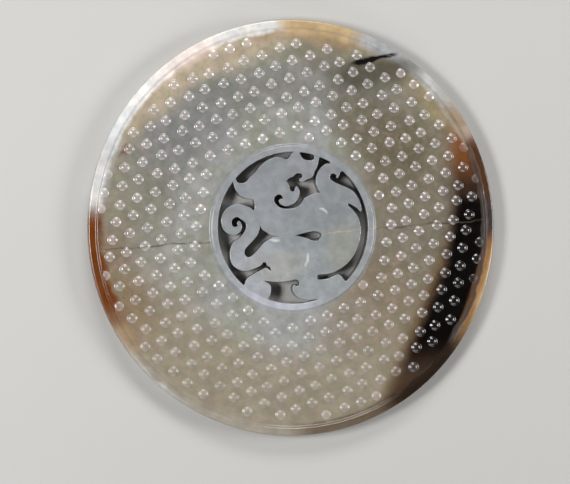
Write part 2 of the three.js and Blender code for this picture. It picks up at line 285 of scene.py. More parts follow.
# Pale skin that grows in from the rim: middle angle and half the span in degrees, the share of the radius
# that it reaches in to, how strong, and the tone.
RIM_SKINS = [
    (118, 50, 0.83, 0.78, (178, 162, 140)),
    (84, 22, 0.88, 0.55, (148, 116, 78)),
    (42, 18, 0.86, 0.7, (152, 136, 105)),
]
DOME_SOFTNESS = 0.3

# Stains along the rim, and one painted highlight on its lower left edge: middle angle and half the span, the
# share of the radius where each one starts, how soft its ends are in degrees and its inner edge in shares,
# how strong, and the tone.
WHITE_SKIN_STAINS = [
    (122, 10, 0.92, 6, 0.02, 0.45, (232, 206, 194)),
    (153, 8, 0.945, 5, 0.012, 0.5, (206, 211, 215)),
    (164, 10, 0.925, 5, 0.02, 0.6, (172, 172, 172)),
    (103, 8, 0.94, 5, 0.012, 0.4, (186, 184, 180)),
]
GREY_SKIN_STAINS = [
    (61, 7, 0.94, 5, 0.012, 0.55, (128, 131, 137)),
    (32, 6, 0.945, 5, 0.012, 0.85, (150, 126, 98)),
    (82, 11, 0.935, 4, 0.025, 1, (186, 160, 121)),
    (15, 11, 0.955, 4, 0.012, 1, (80, 52, 32)),
    (2, 7, 0.955, 4, 0.012, 1, (66, 56, 54)),
]
LOWER_RIM_STAINS_AND_EDGE_HIGHLIGHT = [
    (-49, 14, 0.95, 5, 0.012, 1, (40, 28, 19)),
    (-75, 14, 0.945, 6, 0.012, 0.9, (94, 78, 60)),
    (-122, 32, 0.95, 8, 0.012, 0.7, (154, 147, 136)),
    # Painted highlight: this pale band on the outer edge at the lower left stands in for a glint along the
    # edge.
    (-136, 12, 0.984, 8, 0.006, 0.6, (188, 189, 186)),
    (-150, 8, 0.93, 5, 0.012, 0.6, (150, 122, 86)),
]

# The inner edge of the dark patch on the right is the lower of two lines: their x at y = 0, and their lean.
PATCH_EDGES = [(50.3, 0.16), (53.3, 0.42)]

# The golden rim: its middle angle, the share of the radius where it starts there, and how fast it narrows.
GOLD_MIDDLE = -18.0
GOLD_START = 0.935
GOLD_BEND = 0.0001

# The black vein: its y at x = 0 and its rise.
VEIN_HEIGHT = 47.9
VEIN_RISE = 0.2

# The ring is painted palest round this angle: its paler stone with a painted highlight on the ring's lower
# side.
RING_HIGHLIGHT_ANGLE = -104.0

# Noise: the size of its features in mm, detail, roughness, and an offset that sets each one apart.
CLOUDS = (15.0, 3.0, 0.55, 11.0)
MOTTLE = (3.2, 4.0, 0.6, 77.0)
THREADS = (7.0, 5.0, 0.65, 23.0)
SPECKS = (2.9, 3.0, 0.6, 55.0)
GRAIN = (1.1, 4.0, 0.6, 9.0)
SOFT_WAVES = (5.0, 2.0, 0.5, 31.0)
BROAD_PUSH = (16.0, 2.0, 0.5, 3.0)
FINE_PUSH = (4.5, 3.0, 0.5, 41.0)

# How far the two pushes shift the edges of stains, and the share of the fine one for the crisper edges.
BROAD_PUSH_REACH = 9.0
FINE_PUSH_REACH = 4.0
SLIGHT_PUSH_SHARE = 0.6

# The shader's settings that are the same all over the jade.
JADE_SETTINGS = {
    "IOR": 1.61,
    "Subsurface Weight": 0.22,
    "Subsurface Radius": (1.0, 0.92, 0.75),
    "Subsurface Scale": 1.3 * MM,
    "Coat Weight": 0.18,
    "Coat Roughness": 0.12,
}

# The studio, in metres and watts. A softbox has a name, a direction in degrees from +X, seen from the front
# of the disc, an elevation, a size and a power.
FLOOR_REACH = 1.5
FLOOR_TONE = (182, 181, 178)
FLOOR_ROUGHNESS = 0.9
SOFTBOX_DISTANCE = 0.6
SOFTBOXES = [
    ("softbox_top", 90, 36, (0.3, 0.18), 2.0),
    ("softbox_left", 180, 46, (0.2, 0.14), 2.8),
    ("softbox_right", 0, 31, (0.24, 0.18), 2.1),
    ("softbox_bottom", -90, 32, (0.7, 0.2), 1.1),
]
WORLD_LIGHT = 0.02

# The camera: its distance, its tilt, the picture's width in pixels, how much of the disc one pixel shows,
# and how many pixels the disc's middle lies off the picture's.
CAMERA_DISTANCE = 800.0
CAMERA_TILT = 8.0
CAMERA_SENSOR_WIDTH = 36.0
IMAGE_WIDTH = 570
MM_PER_PIXEL = 0.3123
CAMERA_OFF_CENTRE = (8.3, 14.3)


def smoothstep(low, high, value):
    share = np.clip((value - low) / (high - low), 0.0, 1.0)
    return share * share * (3 - 2 * share)


def rounded_edge(distance, arris):
    """How far a rounded edge lies below the sharp one, at a distance from it."""
    return arris - np.sqrt(np.maximum(arris**2 - np.maximum(arris - distance, 0) ** 2, 0))


def circle_points(count, start=0.0):
    """Evenly spaced points on a circle of radius 1. The start is a share of one step."""
    angles = (np.arange(count) + start) * 2 * math.pi / count
    return np.stack([np.cos(angles), np.sin(angles)], 1)


def scaled(points):
    """Points given in hundredths of the ring's inner radius, in mm."""
    return np.array(points, dtype=float) * RING_BORE_RADIUS / 100


def evenly_spaced(points, step):
    """Points about one step apart along a polyline, without its last point."""
    lengths = np.hypot(*np.diff(points, axis=0).T)
    along = np.concatenate([[0.0], np.cumsum(lengths)])
    count = max(1, round(along[-1] / step))
    places = np.linspace(0, along[-1], count + 1)[:-1]
    return np.stack([np.interp(places, along, points[:, k]) for k in range(2)], 1)


def through(points):
    """A smooth curve through the points, as a fine polyline."""
    points = scaled(points)
    curve = []
    for i in range(len(points) - 1):
        before = points[max(i - 1, 0)]
        start = points[i]
        end = points[i + 1]
        after = points[min(i + 2, len(points) - 1)]
        lean_in = (end - before) / 2
        lean_out = (after - start) / 2
        for t in np.arange(CURVE_SPANS) / CURVE_SPANS:
            cubic = 2 * start - 2 * end + lean_in + lean_out
            square = -3 * start + 3 * end - 2 * lean_in - lean_out
            curve.append(cubic * t**3 + square * t**2 + lean_in * t + start)
    curve.append(points[-1])
    return np.array(curve)


def stretch_points(stretch):
    if stretch[0] == "ring":
        angles = np.radians(np.linspace(stretch[1], stretch[2], RING_STRETCH_POINTS))
        fine = RING_BORE_RADIUS * np.stack([np.cos(angles), np.sin(angles)], 1)
    else:
        fine = through(stretch)
    return evenly_spaced(fine, OUTLINE_STEP)


def opening_outline(stretches):
    """The closed outline of an opening, counter-clockwise from the front."""
    outline = np.concatenate([stretch_points(stretch) for stretch in stretches])
    following = np.roll(outline, -1, axis=0)
    area = np.sum(outline[:, 0] * following[:, 1] - following[:, 0] * outline[:, 1]) / 2
    return outline if area > 0 else outline[::-1]


def distance_to_lines(points, starts, ends):
    """How far each point is from the nearest of many short lines."""
    along = ends - starts
    squares = np.maximum(np.sum(along**2, axis=1), TINY)
    nearest = np.empty(len(points))
    for first in range(0, len(points), POINTS_AT_ONCE):
        group = points[first:first + POINTS_AT_ONCE, None, :]
        share = np.clip(np.sum((group - starts) * along, axis=2) / squares, 0, 1)
        offset = group - (starts + share[..., None] * along)
        nearest[first:first + POINTS_AT_ONCE] = np.sqrt(np.min(np.sum(offset**2, axis=2), axis=1))
    return nearest


def inside_outline(points, outline):
    x, y = points[:, 0, None], points[:, 1, None]
    start_x, start_y = outline[:, 0], outline[:, 1]
    end_x, end_y = np.roll(outline, -1, axis=0).T
    crosses = (start_y > y) != (end_y > y)
    rise = np.where(end_y == start_y, TINY, end_y - start_y)
    left_of = x < start_x + (y - start_y) / rise * (end_x - start_x)
    return np.sum(crosses & left_of, axis=1) % 2 == 1


def in_any_opening(points, outlines):
    inside = np.zeros(len(points), dtype=bool)
    for outline in outlines:
        low, high = outline.min(axis=0), outline.max(axis=0)
        near = np.all((points >= low) & (points <= high), axis=1)
        inside[near] |= inside_outline(points[near], outline)
    return inside


def wander(i, j, salt):
    """A repeatable number from -1 to 1 for the nub at column i and row j."""
    angle = sum(rate * value for rate, value in zip(SCATTER_RATES, (i, j, salt)))
    wave = math.sin(angle) * SCATTER_SIZE
    return 2 * (wave - math.floor(wave)) - 1


def nub_field_gap(x, y):
    """How far a point is inside the part of the field that carries nubs."""
    half_width = FIELD_HALF_WIDTH - NUB_SIDE_MARGIN
    half_length = FIELD_HALF_LENGTH - NUB_END_MARGIN
    from_ring = math.hypot(x, y) - RING_RADIUS - NUB_RING_MARGIN
    return min(from_ring, half_width * (1 - math.hypot(x / half_width, y / half_length)))


def nub_places():
    """Where the nubs stand, each as x, y and its share of the full height."""
    reach = math.ceil(DISC_LENGTH / min(NUB_PITCH, NUB_CROSS_PITCH))
    row = math.radians(NUB_ROW_ANGLE)
    cross = math.radians(NUB_CROSS_ANGLE)
    places = []
    for i in range(-reach, reach + 1):
        for j in range(-reach, reach + 1):
            row_x = NUB_START[0] + i * NUB_PITCH * math.cos(row) + j * NUB_CROSS_PITCH * math.cos(cross)
            y = NUB_START[1] + i * NUB_PITCH * math.sin(row) + j * NUB_CROSS_PITCH * math.sin(cross)
            side_drift = NUB_SIDE_DRIFT * (row_x / FIELD_HALF_WIDTH) ** 2
            x = row_x - side_drift + NUB_END_DRIFT * (y / FIELD_HALF_LENGTH) ** 2
            gap = nub_field_gap(x, y)
            if gap < 0:
                continue
            share = NUB_LOW_SHARE + (1 - NUB_LOW_SHARE) * smoothstep(0, NUB_FADE, gap)
            share *= 1 + NUB_HEIGHT_WANDER * wander(i, j, 2)
            places.append((x + NUB_WANDER * wander(i, j, 0), y + NUB_WANDER * wander(i, j, 1), share))
    return np.array(places)


def nub_profile(radius, height):
    """Height of a nub at a distance from its middle: a broad crown, rounded down to a soft foot."""
    cap = height * (1 - (radius / NUB_RADIUS) ** NUB_FLATNESS)
    return (cap + np.sqrt(cap**2 + FOOT_BLEND**2)) / 2


def break_line(x):
    """The y of the old break at each x."""
    waver = sum(size * np.sin(rate * x + start) for rate, start, size in BREAK_WAVES)
    return BREAK_HEIGHT_AT_MIDDLE + BREAK_RISE * x + BREAK_WAVER * waver


class Face:
    """One face of the disc, front or back: its height over the plane and the points that carry it."""

    def __init__(self, outer, outlines, nubs, front):
        self.outer = outer
        self.outlines = outlines
        self.nubs = nubs
        self.front = front
        self.detail = FRONT_DETAIL if front else BACK_DETAIL
        self.starts = np.concatenate(outlines)
        self.ends = np.concatenate([np.roll(outline, -1, axis=0) for outline in outlines])
        self.lines = []
        for points, half_width, depth in INCISED_LINES:
            fine = evenly_spaced(through(points), LINE_STEP)
            self.lines.append((fine[:-1], fine[1:], half_width, depth))

    def depth(self, points, opening_distance):
        """How far each point lies below the disc's full thickness on this side."""
        x, y = points.T
        radius = np.hypot(x, y)
        share = np.hypot(x / HALF_WIDTH, y / HALF_LENGTH)
        rim_gap = MEAN_RADIUS * (1 - share)
        rim_side = smoothstep(RIM_WIDTH - RIM_EASE_TOP, FIELD_EDGE + RIM_EASE_FOOT, rim_gap)
        ring_top = RING_RADIUS - BORDER_SLOPE - RING_EASE_TOP
        ring_side = smoothstep(ring_top, RING_RADIUS + RING_EASE_FOOT, radius)
        field = rim_side * ring_side
        depth = rounded_edge(rim_gap, EDGE_ARRIS) + FIELD_DEPTH * field
        # The nubs die away where the field begins to rise to the rim or the ring.
        depth -= self.nub_rise(points) * smoothstep(0.8, 1.0, field)
        if self.front:
            depth += self.break_dip(points, radius)
            depth += self.dragon_dip(points, radius, opening_distance)
        return depth + rounded_edge(opening_distance, OPENING_ARRIS if self.front else BACK_ARRIS)

    def nub_rise(self, points):
        full = NUB_HEIGHT if self.front else BACK_NUB_HEIGHT
        rise = np.zeros(len(points))
        reach = NUB_RADIUS + NUB_FOOT_REACH
        order = np.argsort(points[:, 0])
        sorted_x = points[order, 0]
        for x, y, share in self.nubs:
            first, last = np.searchsorted(sorted_x, (x - reach, x + reach))
            near = order[first:last]
            distance = np.hypot(points[near, 0] - x, points[near, 1] - y)
            within = distance < reach
            near = near[within]
            rise[near] = np.maximum(rise[near], nub_profile(distance[within], full * share))
        return rise

    def break_dip(self, points, radius):
        x, y = points.T
        off = np.abs(y - break_line(x))
        strength = np.where(radius > RING_BORE_RADIUS, 1.0, BREAK_DEPTH_SHARE_ON_DRAGON)
        return BREAK_DEPTH * strength * (1 - smoothstep(0, BREAK_HALF_WIDTH, off))

    def dragon_dip(self, points, radius, opening_distance):
        """The dragon's body: a little below the ring, crowned, with incised lines and swellings."""
        inner = RING_BORE_RADIUS - DRAGON_EDGE_EASE
        outer = RING_BORE_RADIUS + DRAGON_EDGE_EASE
        within = 1 - smoothstep(inner, outer, radius)
        crown = DRAGON_CROWN * (1 - smoothstep(0, DRAGON_CROWN_REACH, opening_distance))
        dip = DRAGON_SINK + crown
        for middle, reach, height in SWELLINGS:
            centre = scaled(middle)
            distance = np.hypot(points[:, 0] - centre[0], points[:, 1] - centre[1])
            dip = dip - height * np.exp(-((distance / reach) ** 2))
        for starts, ends, half_width, line_depth in self.lines:
            off = distance_to_lines(points, starts, ends)
            dip = dip + line_depth * (1 - smoothstep(0, half_width, off))
        return np.maximum(dip, 0) * within

    def own_points(self):
        """Points inside the face, denser where the surface bends."""
        circle = circle_points(self.detail["ring_sides"])
        groups = [self.outer * (1 - gap / MEAN_RADIUS) for gap in self.detail["edge_gaps"]]
        groups += [(RING_RADIUS + offset) * circle for offset in self.detail["ring_offsets"]]
        groups += self.band_points()
        groups.append(self.grid_points())
        groups.append(self.nub_points())
        if self.front:
            groups.append(self.break_points())
        return np.concatenate(groups)

    def band_points(self):
        """Points beside the openings, a little way into the jade."""
        groups = []
        for outline in self.outlines:
            along = np.roll(outline, -1, axis=0) - np.roll(outline, 1, axis=0)
            along /= np.maximum(np.hypot(*along.T), TINY)[:, None]
            outward = np.stack([along[:, 1], -along[:, 0]], 1)
            for band in self.detail["opening_bands"]:
                points = outline + band * outward
                clear = distance_to_lines(points, self.starts, self.ends) > 0.9 * band
                clear &= ~in_any_opening(points, self.outlines)
                groups.append(points[clear])
        return groups

    def grid_points(self):
        """An even grid of triangles over the dragon, clear of the openings and their bands."""
        step = self.detail["grid_step"]
        columns = np.arange(-GRID_HALF, GRID_HALF, step)
        rows = np.arange(-GRID_HALF, GRID_HALF, step * math.sqrt(3) / 2)
        x, y = np.meshgrid(columns, rows)
        x = x + (np.arange(len(rows)) % 2)[:, None] * step / 2
        points = np.stack([x.ravel(), y.ravel()], 1)
        points = points[np.hypot(*points.T) < GRID_RADIUS]
        points = points[~in_any_opening(points, self.outlines)]
        clearance = self.detail["opening_bands"][-1] + 0.4 * step
        return points[distance_to_lines(points, self.starts, self.ends) > clearance]

    def nub_points(self):
        points = [self.nubs[:, :2]]
        for k, radius in enumerate(self.detail["nub_radii"]):
            circle = radius * circle_points(self.detail["nub_sides"], 0.5 * (k % 2))
            points.append((self.nubs[:, None, :2] + circle[None]).reshape(-1, 2))
        points = np.concatenate(points)
        radius = np.hypot(*points.T)
        share = np.hypot(points[:, 0] / HALF_WIDTH, points[:, 1] / HALF_LENGTH)
        off_ring = radius > RING_RADIUS + NUB_POINTS_FROM_RING
        off_rim = MEAN_RADIUS * (1 - share) > FIELD_EDGE + NUB_POINTS_FROM_RIM
        return points[off_ring & off_rim]

    def break_points(self):
        reach = HALF_WIDTH - FIELD_EDGE - BREAK_POINTS_FROM_RIM
        x = np.arange(-reach, reach, BREAK_STEP)
        x = x[np.abs(x) > RING_RADIUS + BREAK_POINTS_FROM_RING]
        middle = break_line(x)
        rows = [np.stack([x, middle + side * BREAK_HALF_WIDTH], 1) for side in (-1, 0, 1)]
        points = np.concatenate(rows)
        from_nubs = np.hypot(
            points[:, None, 0] - self.nubs[None, :, 0],
            points[:, None, 1] - self.nubs[None, :, 1],
        ).min(axis=1)
        return points[from_nubs > NUB_RADIUS + BREAK_POINTS_FROM_NUB]

    def triangulated(self):
        """The face's points, its triangles, and where the outlines' points are among the points."""
        loops = [self.outer] + self.outlines
        boundary = np.concatenate(loops)
        edges = []
        first = 0
        for loop in loops:
            count = len(loop)
            edges += [(first + k, first + (k + 1) % count) for k in range(count)]
            first += count
        points = np.concatenate([boundary, self.own_points()])
        vectors = [Vector(point) for point in points]
        found, _, triangles, origins, _, _ = delaunay_2d_cdt(
            vectors, edges, [], INSIDE_OUTLINES, MERGE_DISTANCE, True
        )
        order = {}
        for place, sources in enumerate(origins):
            for source in sources:
                if source < len(boundary):
                    order[source] = place
        found = np.array([tuple(point) for point in found])
        triangles = np.array([tuple(triangle) for triangle in triangles])
        middles = found[triangles].mean(axis=1)
        triangles = triangles[~in_any_opening(middles, self.outlines)]
        a, b, c = (found[triangles[:, k]] for k in range(3))
        turn = (b[:, 0] - a[:, 0]) * (c[:, 1] - a[:, 1]) - (b[:, 1] - a[:, 1]) * (c[:, 0] - a[:, 0])
        triangles[turn < 0] = triangles[turn < 0][:, ::-1]
        boundary_places = [order[k] for k in range(len(boundary))]
        return found, triangles, boundary_places


def wall(loop, top, bottom, first, faces_out):
    """The wall between the faces along one outline: its own corners, numbered from first, and its quads.

    The top and the bottom are the places and the heights of the outline's corners on the two faces.
    """
    top_places, top_z = top
    bottom_places, bottom_z = bottom
    count = len(loop)
    corners = []
    rows = [top_places]
    for level in WALL_LEVELS:
        corners.append(np.column_stack([loop, top_z + level * (bottom_z - top_z)]))
        rows.append(np.arange(first, first + count))
        first += count
    rows.append(bottom_places)
    quads = []
    for upper, lower in zip(rows[:-1], rows[1:]):
        band = np.stack([upper, lower, np.roll(lower, -1), np.roll(upper, -1)], 1)
        quads += (band if faces_out else band[:, ::-1]).tolist()
    return corners, quads


def placed(name, data):
    """A new object in the scene."""
    thing = bpy.data.objects.new(name, data)
    bpy.context.collection.objects.link(thing)
    return thing


def disc_mesh():
    """The whole disc as one closed mesh, in metres."""
    outer = (HALF_WIDTH, HALF_LENGTH) * circle_points(EDGE_SIDES)
    outlines = [opening_outline(stretches) for stretches in OPENINGS.values()]
    nubs = nub_places()
    corners = []
    faces = []
    sides = []
    first = 0
    for front in (True, False):
        face = Face(outer, outlines, nubs, front)
        points, triangles, boundary = face.triangulated()
        distance = distance_to_lines(points, face.starts, face.ends)
        depth = face.depth(points, distance)
        z = DISC_THICKNESS - depth if front else depth
        corners.append(np.column_stack([points, z]))
        wound = triangles if front else triangles[:, ::-1]
        faces += (wound + first).tolist()
        sides.append((np.array(boundary) + first, z[boundary]))
        first += len(points)
    begin = 0
    for loop in [outer] + outlines:
        span = slice(begin, begin + len(loop))
        top, bottom = ((places[span], z[span]) for places, z in sides)
        wall_corners, quads = wall(loop, top, bottom, first, faces_out=loop is outer)
        corners += wall_corners
        faces += quads
        first += len(WALL_LEVELS) * len(loop)
        begin += len(loop)
    mesh = bpy.data.meshes.new("jade_bi_disc_finish")
    mesh.from_pydata((np.concatenate(corners) * MM).tolist(), [], faces)
    mesh.validate()
    mesh.polygons.foreach_set("use_smooth", [True] * len(mesh.polygons))
    mesh.update()
    return mesh


class Material:
    """Builds a node material."""

    def __init__(self, name):
        self.material = bpy.data.materials.new(name)
        self.material.use_nodes = True
        self.tree = self.material.node_tree
        self.tree.nodes.clear()

    def node(self, kind, **settings):
        made = self.tree.nodes.new(kind)
        for name, value in settings.items():
            setattr(made, name, value)
        return made

    def put(self, socket, value):
        if isinstance(value, bpy.types.NodeSocket):
            self.tree.links.new(value, socket)
        else:
            socket.default_value = value

    def fill(self, node, values):
        for name, value in values.items():
            self.put(node.inputs[name], value)

    def math(self, operation, *values):
        made = self.node("ShaderNodeMath", operation=operation)
        for socket, value in zip(made.inputs, values):
            self.put(socket, value)
        return made.outputs[0]

    def vector(self, operation, *values, **named):
        made = self.node("ShaderNodeVectorMath", operation=operation)
        for socket, value in zip(made.inputs, values):
            self.put(socket, value)
        self.fill(made, named)
        return made.outputs["Value"] if operation == "LENGTH" else made.outputs["Vector"]

    def parts(self, vector):
        made = self.node("ShaderNodeSeparateXYZ")
        self.put(made.inputs[0], vector)
        return made.outputs

    def step(self, value, low, high, to_low=0.0, to_high=1.0):
        """A smooth ramp from one level, where the value is low, to another, where it is high."""
        made = self.node("ShaderNodeMapRange", interpolation_type="SMOOTHSTEP")
        self.fill(made, {"Value": value, "From Min": low, "From Max": high})
        self.fill(made, {"To Min": to_low, "To Max": to_high})
        return made.outputs[0]

    def product(self, *masks):
        result = masks[0]
        for mask in masks[1:]:
            result = self.math("MULTIPLY", result, mask)
        return result

    def where(self, *ramps):
        """The product of smooth ramps. Each has a value, where it starts and where it is full."""
        return self.product(*(self.step(*ramp) for ramp in ramps))

    def mix(self, share, first, second):
        made = self.node("ShaderNodeMix", data_type="RGBA", clamp_factor=True)
        self.put(made.inputs[0], share)
        for k, colour in ((6, first), (7, second)):
            linked = isinstance(colour, bpy.types.NodeSocket)
            self.put(made.inputs[k], colour if linked else tone(*colour))
        return made.outputs[2]

    def finished(self, shader):
        output = self.node("ShaderNodeOutputMaterial")
        self.put(output.inputs["Surface"], shader.outputs[0])
        return self.material


def tone(red, green, blue):
    """A colour as it looks on a screen, 0 to 255, as a shader colour."""
    linear = []
    for value in (red, green, blue):
        value /= 255
        linear.append(value / 12.92 if value <= 0.04045 else ((value + 0.055) / 1.055) ** 2.4)
    return (*linear, 1.0)


class OldJade(Material):
    """The old jade. Positions are millimetres in the disc's own frame."""

    def __init__(self):
        super().__init__("old_jade")
        self.place = self.vector("SCALE", self.node("ShaderNodeTexCoord").outputs["Object"], Scale=1 / MM)
        self.x, self.y, self.z = self.parts(self.place)
        self.radius = self.vector("LENGTH", self.vector("MULTIPLY", self.place, (1.0, 1.0, 0.0)))

        # Stain edges are pushed about by two sizes of noise, so that none of them is a clean curve.
        broad_push = self.push(BROAD_PUSH, BROAD_PUSH_REACH)
        fine_push = self.push(FINE_PUSH, FINE_PUSH_REACH)
        slight_push = self.vector("SCALE", fine_push, Scale=SLIGHT_PUSH_SHARE)
        self.pushed = self.vector("ADD", self.place, self.vector("ADD", broad_push, fine_push))
        self.barely_pushed = self.vector("ADD", self.place, slight_push)
        self.true_angle, self.true_share = self.polar(self.place)
        self.angle, self.share = self.polar(self.barely_pushed)
        self.wild_angle, self.wild_share = self.polar(self.pushed)

        self.clouds = self.noise(CLOUDS)
        self.mottle = self.noise(MOTTLE)
        self.threads = self.noise(THREADS)
        self.centre = self.step(self.radius, RING_RADIUS + BORDER_SLOPE, RING_RADIUS - BORDER_SLOPE)

        # The dark patch on the right: its inner edge runs down and then bends away under the field.
        self.patch_x, self.patch_y, _ = self.parts(self.barely_pushed)
        edges = [self.math("MULTIPLY_ADD", self.patch_y, lean, start) for start, lean in PATCH_EDGES]
        self.beyond = self.math("SUBTRACT", self.patch_x, self.math("MINIMUM", *edges))
        self.rust = self.where(
            (self.patch_x, 46.0, 54.0),
            (self.patch_y, 36.0, 27.0),
            (self.patch_y, 8.0, 13.0),
        )
        self.black = self.where(
            (self.beyond, -2.0, 2.6),
            (self.patch_y, 16.0, 7.0),
            (self.patch_y, -55.0, -34.0),
        )
        self.stained_side = self.arc(-6, 29, 0.94)

    def noise(self, settings, coloured=False):
        size, detail, roughness, offset = settings
        made = self.node("ShaderNodeTexNoise")
        shifted = self.vector("ADD", self.place, (offset, 0.7 * offset, 0.3 * offset))
        self.fill(made, {"Vector": shifted, "Scale": 1.0 / size, "Detail": detail, "Roughness": roughness})
        return made.outputs["Color"] if coloured else made.outputs[0]

    def push(self, settings, reach):
        """A shift in any direction that changes from place to place."""
        centred = self.vector("SUBTRACT", self.noise(settings, coloured=True), (0.5, 0.5, 0.5))
        return self.vector("SCALE", centred, Scale=reach)

    def polar(self, position):
        """The angle round the disc in degrees, and the share of the way from its middle to its edge."""
        position_x, position_y, _ = self.parts(position)
        across = self.math("DIVIDE", position_x, HALF_WIDTH)
        up = self.math("DIVIDE", position_y, HALF_LENGTH)
        angle = self.math("DEGREES", self.math("ARCTAN2", up, across))
        squares = self.math("ADD", self.product(across, across), self.product(up, up))
        return angle, self.math("SQRT", squares)

    def over(self, colour, second, mask, amount=1.0):
        """The colour with some of a second one laid over it, where the mask is."""
        return self.mix(self.product(mask, amount), colour, second)

    def off_angle(self, angle, middle):
        return self.math("WRAP", self.math("SUBTRACT", angle, middle), 180.0, -180.0)

    def arc(self, middle, half, inner, angle_soft=5.0, share_soft=0.012, wild=False):
        """A stain along the rim, as a stretch of angle outside a share of the radius."""
        angle = self.wild_angle if wild else self.angle
        share = self.wild_share if wild else self.share
        off = self.math("ABSOLUTE", self.off_angle(angle, middle))
        return self.where(
            (off, half + angle_soft, half - angle_soft),
            (share, inner - share_soft, inner + share_soft),
        )

    def dome(self, middle, half, top):
        """A stain that grows in from the rim as a dome, deepest at its middle angle."""
        off = self.math("DIVIDE", self.off_angle(self.wild_angle, middle), half)
        depth = self.math("DIVIDE", self.math("SUBTRACT", self.wild_share, top), 1 - top)
        level = self.math("SUBTRACT", depth, self.product(off, off))
        return self.step(level, -DOME_SOFTNESS, DOME_SOFTNESS)

    def cloud(self, middle, size, turn, position=None):
        """A soft oval stain."""
        if position is None:
            position = self.pushed
        local = self.vector("SUBTRACT", position, (*middle, 0.0))
        rotate = self.node("ShaderNodeVectorRotate", rotation_type="Z_AXIS")
        self.fill(rotate, {"Vector": local, "Angle": math.radians(-turn)})
        width, height = size
        shape = self.vector("MULTIPLY", rotate.outputs[0], (2 / width, 2 / height, 0.0))
        return self.step(self.vector("LENGTH", shape), 1 + CLOUD_SOFTNESS, 1 - CLOUD_SOFTNESS)

    def clouded(self, colour, rows):
        for middle, size, turn, amount, second in rows:
            colour = self.over(colour, second, self.cloud(middle, size, turn), amount)
        return colour

    def rim_stained(self, colour, rows):
        for middle, half, inner, angle_soft, share_soft, amount, second in rows:
            mask = self.arc(middle, half, inner, angle_soft, share_soft)
            colour = self.over(colour, second, mask, amount)
        return colour

    def field(self):
        """The field's own stone: clouds, bands, pale skin inside the top of the rim, and small specks."""
        colour = self.mix(self.step(self.clouds, 0.35, 0.65), (140, 141, 131), (150, 151, 150))
        for (start, full), shares, amount, second in FIELD_BANDS:
            ramps = [(self.share, *share) for share in shares]
            colour = self.over(colour, second, self.where((self.y, start, full), *ramps), amount)
        colour = self.clouded(colour, FIELD_CLOUDS)
        orange_side = self.arc(-164, 18, 0.79, 12.0, 0.1, wild=True)
        colour = self.over(colour, (120, 93, 62), orange_side, 0.65)
        for middle, half, top, amount, second in RIM_SKINS:
            colour = self.over(colour, second, self.dome(middle, half, top), amount)
        colour = self.clouded(colour, [RUSTY_SPOT])
        specks = self.noise(SPECKS)
        colour = self.over(colour, (122, 129, 98), self.step(specks, 0.52, 0.66), 0.34)
        return self.over(colour, (160, 140, 130), self.step(specks, 0.48, 0.34), 0.24)

    def with_centre(self, colour):
        """The ring and the dragon are cleaner and greener; the dragon carries painted highlights and is
        painted paler lower down as light from below, and the ring has a painted highlight on its lower side.
        """
        second = self.mix(self.step(self.clouds, 0.3, 0.7), (130, 135, 137), (142, 145, 149))
        # Painted light: the dragon is painted paler towards the bottom, standing in for light from below.
        second = self.over(second, (146, 151, 153), self.step(self.y, 8.0, -18.0), 0.9)
        second = self.clouded(second, CENTRE_CLOUDS)
        # Painted highlights: small pale marks on the dragon where its swellings would glint.
        for middle, size, turn in DRAGON_PAINTED_GLINTS:
            painted_glint = self.cloud(middle, size, turn, self.barely_pushed)
            second = self.over(second, (204, 210, 208), painted_glint, 0.7)
        band = self.step(self.radius, RING_BORE_RADIUS - 0.3, RING_BORE_RADIUS + 0.3)
        second = self.over(second, (149, 151, 153), band, 0.75)
        # Painted highlight: the ring is made palest on its lower side, over its paler stone.
        off_highlight = self.math("ABSOLUTE", self.off_angle(self.true_angle, RING_HIGHLIGHT_ANGLE))
        ring_highlight = self.step(off_highlight, 46.0, 12.0)
        second = self.over(second, (184, 185, 195), self.product(band, ring_highlight), 0.75)
        return self.mix(self.centre, colour, second)

    def with_dark_patch(self, colour):
        """Olive, rust, brown and black, one inside the other."""
        olive = self.where((self.beyond, -7.0, 0.5), (self.patch_y, 4.0, -14.0))
        colour = self.over(colour, (104, 84, 52), olive, 0.8)
        rust_tone = self.mix(self.step(self.patch_y, 11.0, 28.0), (38, 18, 10), (128, 72, 26))
        colour = self.over(colour, rust_tone, self.rust, 0.92)
        brown = self.where((self.beyond, -4.0, 2.0), (self.patch_y, 18.0, 8.0))
        colour = self.over(colour, (66, 41, 24), brown, 0.9)
        return self.mix(self.black, colour, (7, 4, 3))

    def with_rim(self, colour):
        """The rim's skins and stains, from the left side over the top to the right and round, with a painted
        highlight along the lower left edge.
        """
        thready = self.step(self.threads, 0.4, 0.62)
        white = self.mix(thready, (227, 227, 225), (246, 241, 235))
        greyish = self.mix(thready, (174, 174, 171), (198, 196, 192))
        colour = self.mix(self.arc(134, 41, 0.945), colour, white)
        colour = self.rim_stained(colour, WHITE_SKIN_STAINS)
        colour = self.mix(self.arc(50, 24, 0.945, 4.0, 0.02), colour, greyish)
        colour = self.rim_stained(colour, GREY_SKIN_STAINS)
        colour = self.with_gold(colour)
        colour = self.rim_stained(colour, LOWER_RIM_STAINS_AND_EDGE_HIGHLIGHT)
        return self.mix(self.arc(-170, 15, 0.93, 5.0, 0.02, wild=True), colour, (104, 53, 13))

